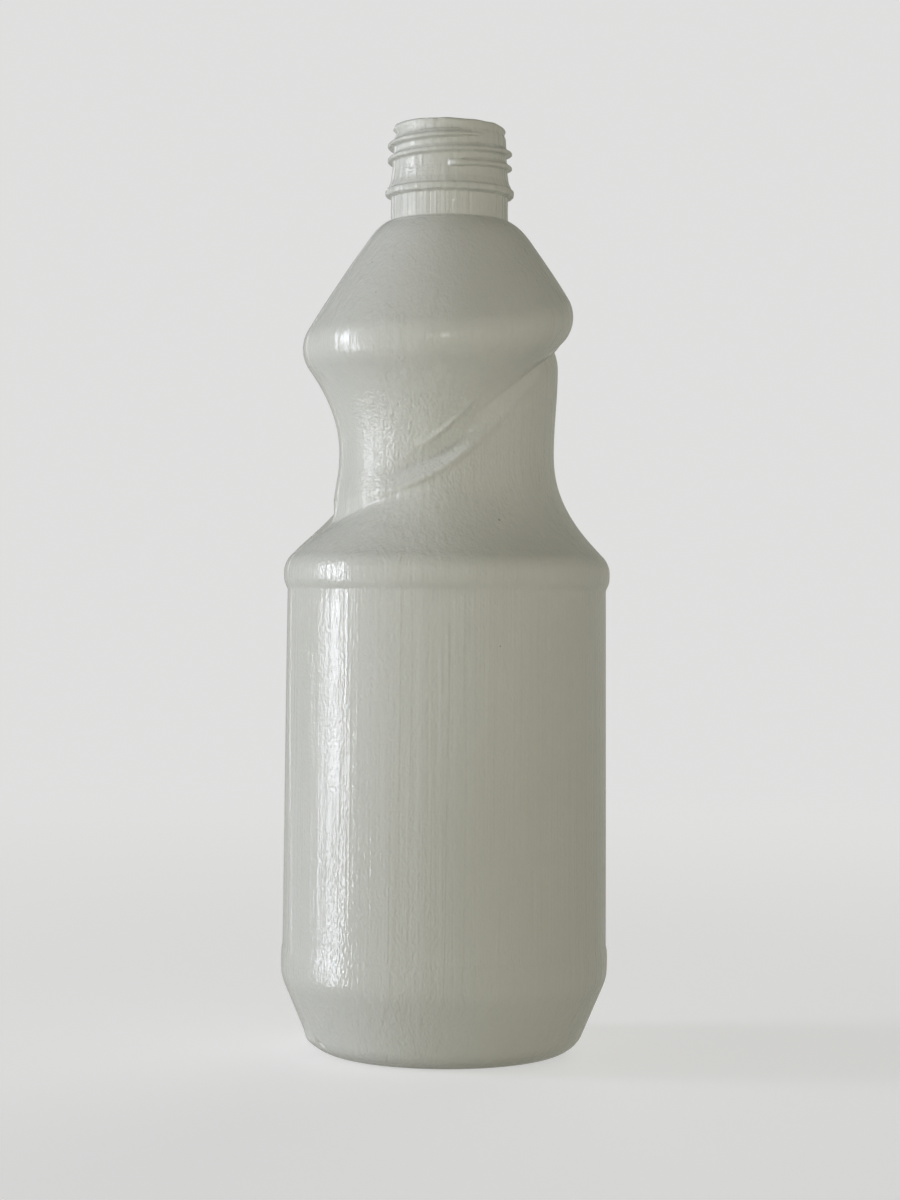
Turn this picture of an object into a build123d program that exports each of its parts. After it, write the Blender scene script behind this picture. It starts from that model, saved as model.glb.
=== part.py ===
from build123d import *
import math
import os

# A blow-moulded bottle of half a litre with a screw neck, a cone shoulder,
# a pinched grip that twists round the body, and a plain lower body between
# two raised beads. It is one hollow wall of plastic. All lengths are in mm.
# The origin is the middle of the foot, and the mould parts in the plane Y = 0.

# Wall, and the fine step where the inserts of the mould meet its two halves
wall = 0.85
insert_step = 0.1

# Foot, from the table up to the lower bead. It stands on a narrow flat ring, and
# the pinched seam of the mould crosses the pushed-up panel along X.
foot_ring_radius = 24.25
foot_ring_width = 1.2
foot_ring_round = 2.0
push_up_height = 2.6
push_up_round = 2.4
pinch_seam_width = 0.9
pinch_seam_stand = 0.35
heel_round = 6.8
foot_bead_height = 19.9
foot_bead_round = 14.0

# Plain body between the beads, which widens a little downwards
body_length = 80.9
body_top_radius = 34.95
body_spread = 0.55
foot_bead_stand = 0.45

# Upper bead, where the flare of the grip ends
shoulder_bead_rise = 3.5
shoulder_bead_stand = 0.9
shoulder_bead_round = 6.2

# Twisted grip and the crest above it, which climbs from the low to the high side
grip_depth = 8.65
band_stand = 1.6
crest_rise_from_bead = 49.3
crest_climb = 8.3
crest_round = 7.9

# Cone shoulder, a little crowned, from the neck to the crest's low side
cone_length = 28.3
cone_crown = 0.7
shoulder_round_width = 5.6
shoulder_round_depth = 5.2

# Neck finish
finish_height = 21.1
neck_radius = 12.85
neck_length = 5.0
bore_radius = 10.9
finish_wall_radius = 12.5
mouth_round = 0.6
guard_bead_radius = 14.0
guard_bead_width = 1.1
guard_bead_undercut = 0.5
guard_ramp_length = 4.2
guard_ramp_foot_stand = 0.55

# Angles in degrees, and slopes as sideways run for each step of height
shoulder_top_slope_share = -2.6
cone_top_slope_share = -0.7
crest_cone_angle = 31.0
crest_grip_angle = 35.5
flare_angle = 45.0
bead_end_angle = 21.0
push_up_angle = 60.0

# The wall of the grip is twelve curves from the neck down. The handles of the one
# that runs out into the flare are of unequal length.
flare_curve = 8
flare_pull_shares = (0.8, 1.5)

# The grip is laid out at stations every 15 degrees from the low side of the twist
# at -X to its high side at +X. Each table runs over them. Heights are shares of
# the height between the flare and the line above, and stands out from the waist
# are shares of the band's stand.
station_count = 12
crest_climb_shares = (0, 0, 0, 0, 0.01, 0.05, 0.15, 0.31, 0.5, 0.68, 0.83, 0.95, 1)
upper_groove_height_shares = (
    0.43, 0.437, 0.455, 0.486, 0.533, 0.612, 0.736, 0.82, 0.878, 0.911, 0.928, 0.933, 0.936,
)
upper_edge_height_shares = (
    0.18, 0.18, 0.17, 0.13, 0.1, 0.2, 0.34, 0.4, 0.4, 0.4, 0.4, 0.4, 0.4,
)
band_height_shares = (
    0.63, 0.689, 0.744, 0.766, 0.784, 0.819, 0.86, 0.9, 0.915, 0.914, 0.911, 0.909, 0.903,
)
lower_groove_height_shares = (
    0.579, 0.76, 0.787, 0.768, 0.757, 0.73, 0.677, 0.637, 0.6, 0.58, 0.564, 0.551, 0.547,
)
upper_edge_stand_shares = (
    0.34, 0.34, 0.33, 0.33, 0.35, 0.64, 1.4, 1.3, 1.1, 0.88, 0.68, 0.58, 0.54,
)
upper_groove_stand_shares = (
    0.5, 0.49, 0.42, 0.3, 0.16, 0.04, 0, 0, 0, 0, 0, 0, 0,
)
band_stand_shares = (
    1.05, 1.02, 1, 0.98, 0.93, 0.86, 0.75, 0.64, 0.56, 0.52, 0.5, 0.5, 0.5,
)
lower_groove_stand_shares = (
    1.6, 1.02, 0.93, 1, 1.15, 1.05, 0.62, 0.33, 0.15, 0.06, 0.02, 0, 0,
)
# Slopes of the wall above and below each line. They differ where it is sharp.
above_edge_slope_shares = (
    -0.02, -0.02, -0.01, 0.01, 0.06, 0.27, 0.55, 0.66, 0.68, 0.69, 0.68, 0.66, 0.66,
)
below_edge_slope_shares = (
    -0.02, -0.02, -0.01, 0.02, 0.26, 0.52, 0.66, 0.69, 0.69, 0.69, 0.68, 0.66, 0.66,
)
above_upper_groove_slope_shares = (
    -0.14, -0.13, -0.1, -0.04, 0.04, 0.16, 0.58, 0.7, 0.71, 0.69, 0.67, 0.64, 0.64,
)
below_upper_groove_slope_shares = (
    -0.14, -0.15, -0.16, -0.22, -0.32, -0.4, -0.44, -0.45, -0.45, -0.44, -0.42, -0.4, -0.4,
)
above_lower_groove_slope_shares = (
    -0.35, 0, 0.1, 0, -0.22, -0.17, -0.06, 0, 0.01, 0.01, 0, 0, 0,
)
below_lower_groove_slope_shares = (
    -1, -1, -0.9, -0.55, -0.32, -0.18, -0.06, 0, 0.01, 0.01, 0, 0, 0,
)

# Places that follow from the sizes
body_foot_radius = body_top_radius + body_spread
foot_bead_radius = body_foot_radius + foot_bead_stand
body_top_height = foot_bead_height + body_length
shoulder_bead_height = body_top_height + shoulder_bead_rise
shoulder_bead_radius = body_top_radius + shoulder_bead_stand
crest_low_height = shoulder_bead_height + crest_rise_from_bead
shoulder_height = crest_low_height + cone_length
cone_top_height = shoulder_height - shoulder_round_depth
height = shoulder_height + finish_height


def sine(angle):
    return math.sin(math.radians(angle))


def cosine(angle):
    return math.cos(math.radians(angle))


def tangent(angle):
    return math.tan(math.radians(angle))


def cone_radius(level):
    """Radius of the crowned cone shoulder at a height."""
    length = cone_top_height - crest_low_height
    share = (cone_top_height - level) / length
    straight = neck_radius + shoulder_round_width - cone_top_slope_share * length * share
    return straight - 2 * cone_crown * share * share


def crest_radius(level):
    """Radius of the crest where its round leaves the cone and ends at a height."""
    start = level + crest_round * sine(crest_cone_angle)
    return cone_radius(start) + crest_round * (1 - cosine(crest_cone_angle))


waist_radius = crest_radius(crest_low_height) - grip_depth


def grip_points(station):
    """The wall's corners and joints at a station, from the neck down.

    Each is a radius, a height, and the slope of the wall above and below it.
    """
    crest = crest_low_height + crest_climb * crest_climb_shares[station]
    crest_start = crest + crest_round * sine(crest_cone_angle)
    crest_end = crest - crest_round * sine(crest_grip_angle)
    crest_end_radius = crest_radius(crest) - crest_round * (1 - cosine(crest_grip_angle))
    bead_centre = shoulder_bead_radius - shoulder_bead_round
    flare_end = shoulder_bead_height + shoulder_bead_round * sine(flare_angle)
    groove = flare_end + (crest_end - flare_end) * upper_groove_height_shares[station]
    edge = groove + (crest_end - groove) * upper_edge_height_shares[station]
    band = flare_end + (groove - flare_end) * band_height_shares[station]
    lower = flare_end + (band - flare_end) * lower_groove_height_shares[station]
    cone_slope = -tangent(crest_cone_angle)
    under_slope = tangent(crest_grip_angle)
    flare_slope = -tangent(flare_angle)
    end_slope = tangent(bead_end_angle)
    return [
        (neck_radius + insert_step, shoulder_height, None, shoulder_top_slope_share),
        (cone_radius(cone_top_height), cone_top_height, cone_top_slope_share, cone_top_slope_share),
        (cone_radius(crest_start), crest_start, cone_slope, cone_slope),
        (crest_radius(crest), crest, 0, 0),
        (crest_end_radius, crest_end, under_slope, under_slope),
        (
            waist_radius + band_stand * upper_edge_stand_shares[station],
            edge,
            above_edge_slope_shares[station],
            below_edge_slope_shares[station],
        ),
        (
            waist_radius + band_stand * upper_groove_stand_shares[station],
            groove,
            above_upper_groove_slope_shares[station],
            below_upper_groove_slope_shares[station],
        ),
        (waist_radius + band_stand * band_stand_shares[station], band, 0, 0),
        (
            waist_radius + band_stand * lower_groove_stand_shares[station],
            lower,
            above_lower_groove_slope_shares[station],
            below_lower_groove_slope_shares[station],
        ),
        (
            bead_centre + shoulder_bead_round * cosine(flare_angle),
            flare_end,
            flare_slope,
            flare_slope,
        ),
        (shoulder_bead_radius, shoulder_bead_height, 0, 0),
        (
            bead_centre + shoulder_bead_round * cosine(bead_end_angle),
            shoulder_bead_height - shoulder_bead_round * sine(bead_end_angle),
            end_slope,
            end_slope,
        ),
        (body_top_radius + insert_step, body_top_height, 0, None),
    ]


def inset_points(points, depth):
    """The same points moved into the wall, square to it, for its inner face."""
    moved = []
    for radius, level, above, below in points:
        if above is None:
            moved.append((bore_radius + insert_step, level, above, below))
        elif below is None:
            moved.append((radius - depth, level, above, below))
        else:
            middle = (math.atan(above) + math.atan(below)) / 2
            spread = (math.atan(above) - math.atan(below)) / 2
            reach = depth / math.cos(spread)
            inner = (radius - reach * math.cos(middle), level + reach * math.sin(middle))
            moved.append((*inner, above, below))
    return moved


def place(radius, level, turn):
    """A point of the wall at an angle about the bottle's axis."""
    return Vector(radius * cosine(turn), radius * sine(turn), level)


def wall_curves(points, turn):
    """Smooth curves from point to point, each with the slopes given at its ends."""
    curves = []
    for index, (upper, lower) in enumerate(zip(points, points[1:])):
        start_angle = math.atan(upper[3])
        end_angle = math.atan(lower[2])
        length = math.hypot(lower[0] - upper[0], lower[1] - upper[1])
        bend = max(abs(end_angle - start_angle), math.radians(1))
        handle = length * 2 / 3 * math.tan(bend / 4) / math.sin(bend / 2)
        pulls = flare_pull_shares if index == flare_curve else (1, 1)
        first = (
            upper[0] - pulls[0] * handle * math.sin(start_angle),
            upper[1] - pulls[0] * handle * math.cos(start_angle),
        )
        second = (
            lower[0] + pulls[1] * handle * math.sin(end_angle),
            lower[1] + pulls[1] * handle * math.cos(end_angle),
        )
        corners = [upper[:2], first, second, lower[:2]]
        curves.append(Edge.make_bezier(*[place(*corner, turn) for corner in corners]))
    return curves


def grip_section(station):
    """The closed outline of the grip's wall at a station."""
    turn = 180 + 180 * station / station_count
    mirrored = abs(station)
    if mirrored > station_count:
        mirrored = 2 * station_count - mirrored
    points = grip_points(mirrored)
    outer = wall_curves(points, turn)
    inner = wall_curves(inset_points(points, wall), turn)
    top = Edge.make_line(outer[0] @ 0, inner[0] @ 0)
    bottom = Edge.make_line(outer[-1] @ 1, inner[-1] @ 1)
    return Wire([*outer, bottom, *inner, top])


def make_grip():
    """Shoulder, grip and upper bead: lofted through the stations, then mirrored.

    Spare stations past the parting plane keep the two halves smooth across it.
    """
    spare = 2
    sections = [grip_section(n) for n in range(-spare, station_count + spare + 1)]
    half = Solid.make_loft(sections)
    reach = 2 * shoulder_bead_radius
    front = Box(2 * reach, reach, 2 * height, align=(Align.CENTER, Align.MAX, Align.CENTER))
    half = half & front
    return half + mirror(half, about=Plane.XZ)


def at(radius, level):
    """A point of a turned outline, in the plane Y = 0."""
    return Vector(radius, 0, level)


def lines(points):
    return [Edge.make_line(at(*a), at(*b)) for a, b in zip(points, points[1:])]


def arc_about(centre, round_radius, start, end):
    """An arc of a turned outline, by directions in degrees above outwards."""
    points = [
        at(centre[0] + round_radius * cosine(a), centre[1] + round_radius * sine(a))
        for a in (start, (start + end) / 2, end)
    ]
    return Edge.make_three_point_arc(*points)


def turned(curves):
    """A solid of revolution from the curves of a closed outline."""
    return revolve(make_face(Wire(curves)), axis=Axis.Z)


def make_neck():
    """The screw finish: rim, plain wall, sloped guard bead and neck, with its bore."""
    guard_bead_bottom = shoulder_height + neck_length
    guard_bead_top = guard_bead_bottom + guard_bead_undercut + guard_bead_width
    mouth_radius = finish_wall_radius - mouth_round
    outline = lines(
        [
            (finish_wall_radius, height - mouth_round),
            (finish_wall_radius, guard_bead_top + guard_ramp_length),
            (finish_wall_radius + guard_ramp_foot_stand, guard_bead_top + guard_bead_width),
            (guard_bead_radius, guard_bead_top),
            (guard_bead_radius, guard_bead_bottom + guard_bead_undercut),
            (neck_radius, guard_bead_bottom),
            (neck_radius, shoulder_height),
            (bore_radius, shoulder_height),
            (bore_radius, height),
            (mouth_radius, height),
        ]
    )
    rim = arc_about((mouth_radius, height - mouth_round), mouth_round, 90, 0)
    return turned([rim, *outline])


def panel_radius():
    """Radius of the flat of the pushed-up panel, inside its rounded edge."""
    rounds = foot_ring_round + push_up_round
    slope_rise = push_up_height - rounds * (1 - cosine(push_up_angle))
    slope_run = slope_rise / tangent(push_up_angle) + rounds * sine(push_up_angle)
    return foot_ring_radius - foot_ring_width - slope_run


def body_curves(inset):
    """The lower body's line from its top to the middle of the foot, moved inwards."""
    bead_centre = (foot_bead_radius - foot_bead_round, foot_bead_height)
    heel_centre = (foot_ring_radius, heel_round)
    ring_centre = (foot_ring_radius - foot_ring_width, foot_ring_round)
    bead_start = math.degrees(math.acos((foot_bead_round - foot_bead_stand) / foot_bead_round))
    bead_round = foot_bead_round - inset
    # the foot cone is the straight line that touches both the bead and the heel
    across = heel_centre[0] - bead_centre[0]
    down = heel_centre[1] - bead_centre[1]
    tilt = math.acos((foot_bead_round - heel_round) / math.hypot(across, down))
    cone_angle = math.degrees(math.atan2(down, across) + tilt)
    bead = arc_about(bead_centre, bead_round, bead_start, cone_angle)
    heel = arc_about(heel_centre, heel_round - inset, cone_angle, -90)
    ring = arc_about(ring_centre, foot_ring_round - inset, -90, -90 - push_up_angle)
    panel_centre = (panel_radius(), push_up_height - push_up_round)
    panel_edge = arc_about(panel_centre, push_up_round + inset, 90 - push_up_angle, 90)
    return [
        Edge.make_line(at(body_top_radius - inset, body_top_height), bead @ 0),
        bead,
        Edge.make_line(bead @ 1, heel @ 0),
        heel,
        Edge.make_line(heel @ 1, ring @ 0),
        ring,
        Edge.make_line(ring @ 1, panel_edge @ 0),
        panel_edge,
        Edge.make_line(panel_edge @ 1, at(0, push_up_height + inset)),
    ]


def make_body():
    """The plain lower body with its bead, cone, heel and pushed-up foot, hollow."""
    outer = body_curves(0)
    inner = body_curves(wall)
    top = Edge.make_line(outer[0] @ 0, inner[0] @ 0)
    middle = Edge.make_line(outer[-1] @ 1, inner[-1] @ 1)
    return turned([*outer, middle, *inner, top])


def make_pinch_seam():
    """The seam where the mould pinched the tube shut, under the pushed-up panel."""
    length = 2 * panel_radius() + push_up_round
    depth = pinch_seam_stand + wall / 2
    bar = Box(length, pinch_seam_width, depth, align=(Align.CENTER, Align.CENTER, Align.MIN))
    return bar.moved(Location((0, 0, push_up_height - pinch_seam_stand)))


bottle = make_neck() + make_grip() + make_body() + make_pinch_seam()

os.makedirs("parts", exist_ok=True)
export_step(bottle, "parts/bottle.step")
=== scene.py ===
import bpy
import math
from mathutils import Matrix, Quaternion, Vector, noise


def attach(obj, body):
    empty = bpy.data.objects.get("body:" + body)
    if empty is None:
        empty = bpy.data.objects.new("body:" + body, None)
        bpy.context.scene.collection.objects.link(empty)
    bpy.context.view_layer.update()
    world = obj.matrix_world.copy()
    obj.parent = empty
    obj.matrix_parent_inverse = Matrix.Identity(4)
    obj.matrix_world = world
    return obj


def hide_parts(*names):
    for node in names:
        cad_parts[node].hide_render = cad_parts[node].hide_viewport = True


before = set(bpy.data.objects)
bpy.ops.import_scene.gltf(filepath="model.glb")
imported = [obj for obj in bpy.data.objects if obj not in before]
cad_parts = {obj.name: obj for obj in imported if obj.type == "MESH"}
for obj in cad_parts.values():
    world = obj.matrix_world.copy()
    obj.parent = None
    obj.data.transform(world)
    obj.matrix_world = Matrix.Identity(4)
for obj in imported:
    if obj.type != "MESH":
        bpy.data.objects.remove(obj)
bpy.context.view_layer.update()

mm = 0.001  # sizes are written in millimetres and scaled where a mesh is made
frontTurn = 252  # direction on the bottle that faces the camera, in degrees from +X
seedStep = 31.7  # how far apart two seeds lie in the noise
sewReach = 0.002  # points nearer than this, in mm, are sewn into one


def sine(angle):
    return math.sin(math.radians(angle))


def cosine(angle):
    return math.cos(math.radians(angle))


def tangent(angle):
    return math.tan(math.radians(angle))


def smoothStep(value, low, high):
    share = min(max((value - low) / (high - low), 0), 1)
    return share * share * (3 - 2 * share)


def bump(value, middle, width):
    return math.exp(-(((value - middle) / width) ** 2))


def between(value, start, full, fade, end):
    # one inside a zone, easing to nothing at both its ends
    return smoothStep(value, start, full) * (1 - smoothStep(value, fade, end))


def away(turn, middle):
    # degrees past a middle direction, less than nothing before it
    return (turn - middle + 180) % 360 - 180


def atTurn(turn, radius, level):
    # the point in that direction, that far from the bottle's axis
    return (radius * cosine(turn), radius * sine(turn), level)


def unevenness(turn, radius, level, grain, stretch, seed):
    # soft noise on the wall, drawn out along the bottle by stretch
    return noise.noise(Vector((
        radius * cosine(turn) / grain + seed * seedStep,
        radius * sine(turn) / grain,
        level / (grain * stretch),
    )))


# Wall of the bottle, from the rim down: neck, cone, twisted grip, body and foot
wall = {
    "thickness": 0.85, "boreRadius": 10.9, "rimRound": 0.5, "rimInnerRound": 0.25,
    "mouthRadius": 12.05, "finishFootRadius": 12.62, "finishHeight": 21.1,
    "neckRadius": 12.85, "neckLength": 5.0,
    "guardRadius": 14.1, "guardWidth": 1.1, "guardUndercut": 0.55, "guardRound": 0.5,
    "rampLength": 4.2, "rampFootStand": 0.95, "rampFootRise": 0.45, "rampFootRound": 0.3,
    "rampBendStand": 0.35, "rampBendRise": 1.9, "rampBendRound": 1.1, "rampTopRound": 1.6,
    "neckTopRound": 0.25, "neckFootRound": 0.3, "shoulderStart": 0.5,
    "shoulderWidth": 5.6, "shoulderDepth": 5.2, "shoulderTopSlope": -2.6,
    "coneLength": 28.3, "coneCrown": 0.7, "coneTopSlope": -0.7,
    "crestRise": 49.3, "crestClimb": 8.3, "crestRound": 7.9,
    "crestConeAngle": 31.0, "crestGripAngle": 35.5,
    "waistRadius": 23.3, "bandStand": 1.6, "flareAngle": 45.0,
    "flareCurve": 8, "flarePulls": (0.8, 1.5),  # the flare's curve, and the pull at its ends
    "beadRise": 3.5, "beadStand": 0.9, "beadRound": 6.2, "beadEndAngle": 21.0,
    "bodyTopRadius": 34.95, "bodySpread": 0.55, "bodyLength": 80.9,
    "footBeadStand": 0.45, "footBeadHeight": 19.9, "footBeadRound": 14.0,
    "heelRound": 6.8, "ringRadius": 24.25, "ringWidth": 1.2, "ringRound": 2.0,
    "pushUpHeight": 2.6, "pushUpRound": 2.4, "pushUpAngle": 60.0,
    # how many points there are round the wall, and down each of its stretches
    "columns": 220, "neckRows": (1, 22, 5, 5, 3, 2, 2, 5, 1), "cornerSteps": 4,
    "gripRows": (8, 16, 7, 8, 38, 10, 12, 18, 20, 8, 6, 4),
    "bodyRows": (26, 14, 10, 28, 2, 5, 2, 5, 7), "innerBodyRows": (6, 4, 2, 4, 1, 2, 1, 2, 3),
    "boreRows": (1, 6), "boreSteps": 3, "innerGripShare": 4, "fewestRows": 2,
}

# How the grip changes from the low side of its twist to the high side, in 12 steps
grip = {
    "crestClimb": (0, 0, 0, 0, 0.01, 0.05, 0.15, 0.31, 0.5, 0.68, 0.83, 0.95, 1),
    "grooveHeight": (
        0.43, 0.437, 0.455, 0.486, 0.533, 0.612, 0.736, 0.82, 0.878, 0.911, 0.928, 0.933, 0.936),
    "edgeHeight": (0.18, 0.18, 0.17, 0.13, 0.1, 0.2, 0.34, 0.4, 0.4, 0.4, 0.4, 0.4, 0.4),
    "bandHeight": (
        0.63, 0.675, 0.715, 0.722, 0.765, 0.811, 0.83, 0.875, 0.91, 0.914, 0.911, 0.909, 0.903),
    "lowerHeight": (
        0.62, 0.7, 0.79, 0.88, 0.9, 0.9, 0.78, 0.66, 0.6, 0.58, 0.564, 0.551, 0.547),
    "edgeStand": (0.34, 0.34, 0.33, 0.33, 0.36, 0.6, 1.2, 1.24, 1.1, 0.88, 0.68, 0.58, 0.54),
    "grooveStand": (0.5, 0.49, 0.42, 0.3, 0.18, 0.17, 0.42, 0.27, 0.04, 0, 0, 0, 0),
    "bandRaised": (1.05, 1.02, 1, 0.98, 0.9, 0.66, 0.42, 0.4, 0.45, 0.48, 0.49, 0.5, 0.5),
    "lowerStand": (1.6, 1.02, 0.95, 1, 1, 0.9, 0.6, 0.33, 0.15, 0.06, 0.02, 0, 0),
    "aboveEdge": (-0.02, -0.02, -0.01, 0.01, 0.06, 0.27, 0.55, 0.66, 0.68, 0.69, 0.68, 0.66, 0.66),
    "belowEdge": (-0.02, -0.02, 0.01, 0.07, 0.2, 0.42, 0.52, 0.62, 0.69, 0.69, 0.68, 0.66, 0.66),
    "aboveGroove": (
        -0.14, -0.13, -0.1, -0.04, 0.04, 0.16, 0.33, 0.46, 0.62, 0.69, 0.67, 0.64, 0.64),
    "belowGroove": (
        -0.14, -0.15, -0.16, -0.22, -0.28, -0.22, 0.02, -0.16, -0.36, -0.44, -0.42, -0.4, -0.4),
    "aboveBand": (-0.1, -0.1, -0.12, -0.2, -0.26, -0.2, -0.1, -0.04, 0, 0, 0, 0, 0),
    "belowBand": (0, 0, 0.02, 0.03, 0.03, 0.02, 0, 0, 0, 0, 0, 0, 0),
    "aboveLower": (-0.35, -0.1, 0.05, 0.05, 0.05, 0, 0, 0, 0.01, 0.01, 0, 0, 0),
    "belowLower": (-1, -0.95, -0.8, -0.45, -0.24, -0.06, 0, 0, 0.01, 0.01, 0, 0, 0),
}
gripSteps = 12

bodyTop = wall["footBeadHeight"] + wall["bodyLength"]
beadHeight = bodyTop + wall["beadRise"]
beadRadius = wall["bodyTopRadius"] + wall["beadStand"]
crestLow = beadHeight + wall["crestRise"]
shoulderTop = crestLow + wall["coneLength"]
coneTop = shoulderTop - wall["shoulderDepth"]
bottleTop = shoulderTop + wall["finishHeight"]
guardBottom = shoulderTop + wall["neckLength"]
guardTop = guardBottom + wall["guardUndercut"] + wall["guardWidth"]
rampTop = guardTop + wall["rampLength"]
rimMiddle = ((wall["mouthRadius"] + wall["boreRadius"]) / 2, bottleTop)


def gripAt(name, step):
    # smooth curve through the table's values, mirrored at both ends
    values = grip[name]
    low = min(int(step), gripSteps - 1)
    share = step - low
    before = values[abs(low - 1)]
    first, second = values[low], values[low + 1]
    after = values[low + 2] if low + 2 <= gripSteps else values[gripSteps - 1]
    start, end = (second - before) / 2, (after - first) / 2
    cube = 2 * first - 2 * second + start + end
    square = 3 * second - 3 * first - 2 * start - end
    return ((cube * share + square) * share + start) * share + first


def coneRadius(level):
    # the cone between neck and crest is a little crowned
    length = coneTop - crestLow
    share = (coneTop - level) / length
    straight = wall["neckRadius"] + wall["shoulderWidth"] - wall["coneTopSlope"] * length * share
    return straight - 2 * wall["coneCrown"] * share * share


def gripKnots(step):
    # radius, height, and slope above and below, from the neck down to the body
    crest = crestLow + wall["crestClimb"] * gripAt("crestClimb", step)
    crestStart = crest + wall["crestRound"] * sine(wall["crestConeAngle"])
    crestRadius = coneRadius(crestStart) + wall["crestRound"] * (1 - cosine(wall["crestConeAngle"]))
    crestEnd = crest - wall["crestRound"] * sine(wall["crestGripAngle"])
    crestEndRadius = crestRadius - wall["crestRound"] * (1 - cosine(wall["crestGripAngle"]))
    beadCentre = beadRadius - wall["beadRound"]
    flareEnd = beadHeight + wall["beadRound"] * sine(wall["flareAngle"])
    groove = flareEnd + (crestEnd - flareEnd) * gripAt("grooveHeight", step)
    edge = groove + (crestEnd - groove) * gripAt("edgeHeight", step)
    band = flareEnd + (groove - flareEnd) * gripAt("bandHeight", step)
    lower = flareEnd + (band - flareEnd) * gripAt("lowerHeight", step)
    coneSlope = -tangent(wall["crestConeAngle"])
    gripSlope = tangent(wall["crestGripAngle"])
    flareSlope = -tangent(wall["flareAngle"])
    beadSlope = tangent(wall["beadEndAngle"])
    flareEndRadius = beadCentre + wall["beadRound"] * cosine(wall["flareAngle"])

    def standing(name):
        return wall["waistRadius"] + wall["bandStand"] * gripAt(name, step)

    return [
        (wall["neckRadius"], shoulderTop, None, wall["shoulderTopSlope"]),
        (coneRadius(coneTop), coneTop, wall["coneTopSlope"], wall["coneTopSlope"]),
        (coneRadius(crestStart), crestStart, coneSlope, coneSlope),
        (crestRadius, crest, 0, 0),
        (crestEndRadius, crestEnd, gripSlope, gripSlope),
        (standing("edgeStand"), edge, gripAt("aboveEdge", step), gripAt("belowEdge", step)),
        (standing("grooveStand"), groove, gripAt("aboveGroove", step), gripAt("belowGroove", step)),
        (standing("bandRaised"), band, gripAt("aboveBand", step), gripAt("belowBand", step)),
        (standing("lowerStand"), lower, gripAt("aboveLower", step), gripAt("belowLower", step)),
        (flareEndRadius, flareEnd, flareSlope, flareSlope),
        (beadRadius, beadHeight, 0, 0),
        (
            beadCentre + wall["beadRound"] * cosine(wall["beadEndAngle"]),
            beadHeight - wall["beadRound"] * sine(wall["beadEndAngle"]),
            beadSlope, beadSlope,
        ),
        (wall["bodyTopRadius"], bodyTop, 0, None),
    ]


def insetKnots(knots, depth):
    # the same knots on the inside of the wall, with the bore at the top
    moved = []
    for radius, level, above, below in knots:
        if above is None:
            moved.append((wall["boreRadius"], level, above, below))
        elif below is None:
            moved.append((radius - depth, level, above, below))
        else:
            middle = (math.atan(above) + math.atan(below)) / 2
            spread = (math.atan(above) - math.atan(below)) / 2
            reach = depth / math.cos(spread)
            inner = (radius - reach * math.cos(middle), level + reach * math.sin(middle))
            moved.append((*inner, above, below))
    return moved


def curveRows(knots, rowCounts):
    # points down smooth curves from knot to knot, without the last knot
    rows = []
    for index, (upper, lower) in enumerate(zip(knots, knots[1:])):
        startAngle, endAngle = math.atan(upper[3]), math.atan(lower[2])
        length = math.hypot(lower[0] - upper[0], lower[1] - upper[1])
        bend = max(abs(endAngle - startAngle), math.radians(1))
        handle = length * 2 / 3 * math.tan(bend / 4) / math.sin(bend / 2)
        pulls = wall["flarePulls"] if index == wall["flareCurve"] else (1, 1)
        first = (
            upper[0] - pulls[0] * handle * math.sin(startAngle),
            upper[1] - pulls[0] * handle * math.cos(startAngle),
        )
        second = (
            lower[0] + pulls[1] * handle * math.sin(endAngle),
            lower[1] + pulls[1] * handle * math.cos(endAngle),
        )
        for row in range(rowCounts[index]):
            t = row / rowCounts[index]
            s = 1 - t
            weights = (s * s * s, 3 * s * s * t, 3 * s * t * t, t * t * t)
            ends = (upper, first, second, lower)
            rows.append(tuple(sum(w * e[axis] for w, e in zip(weights, ends)) for axis in (0, 1)))
    return rows


def lineRows(start, end, count):
    # points along a straight run, without its end
    return [
        tuple(start[axis] + (end[axis] - start[axis]) * row / count for axis in (0, 1))
        for row in range(count)
    ]


def arcRows(centre, radius, start, end, count):
    # points round an arc by directions in degrees above outwards, without its end
    angles = [start + (end - start) * row / count for row in range(count)]
    return [(centre[0] + radius * cosine(a), centre[1] + radius * sine(a)) for a in angles]


def cornerRows(corners, count):
    # a broken line whose inner corners are rounded: radius, height, round, rows before it
    rows = []
    place = corners[0][:2]
    for before, corner, after in zip(corners, corners[1:], corners[2:]):
        toBefore = Vector(before[:2]) - Vector(corner[:2])
        toAfter = Vector(after[:2]) - Vector(corner[:2])
        half = toBefore.angle(toAfter) / 2
        back = corner[2] / math.tan(half)
        start = Vector(corner[:2]) + toBefore.normalized() * back
        end = Vector(corner[:2]) + toAfter.normalized() * back
        rows += lineRows(place, tuple(start), corner[3])
        for row in range(count):
            t = row / count
            point = start * (1 - t) ** 2 + Vector(corner[:2]) * 2 * t * (1 - t) + end * t * t
            rows.append(tuple(point))
        place = tuple(end)
    return rows + lineRows(place, corners[-1][:2], corners[-1][3])


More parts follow.
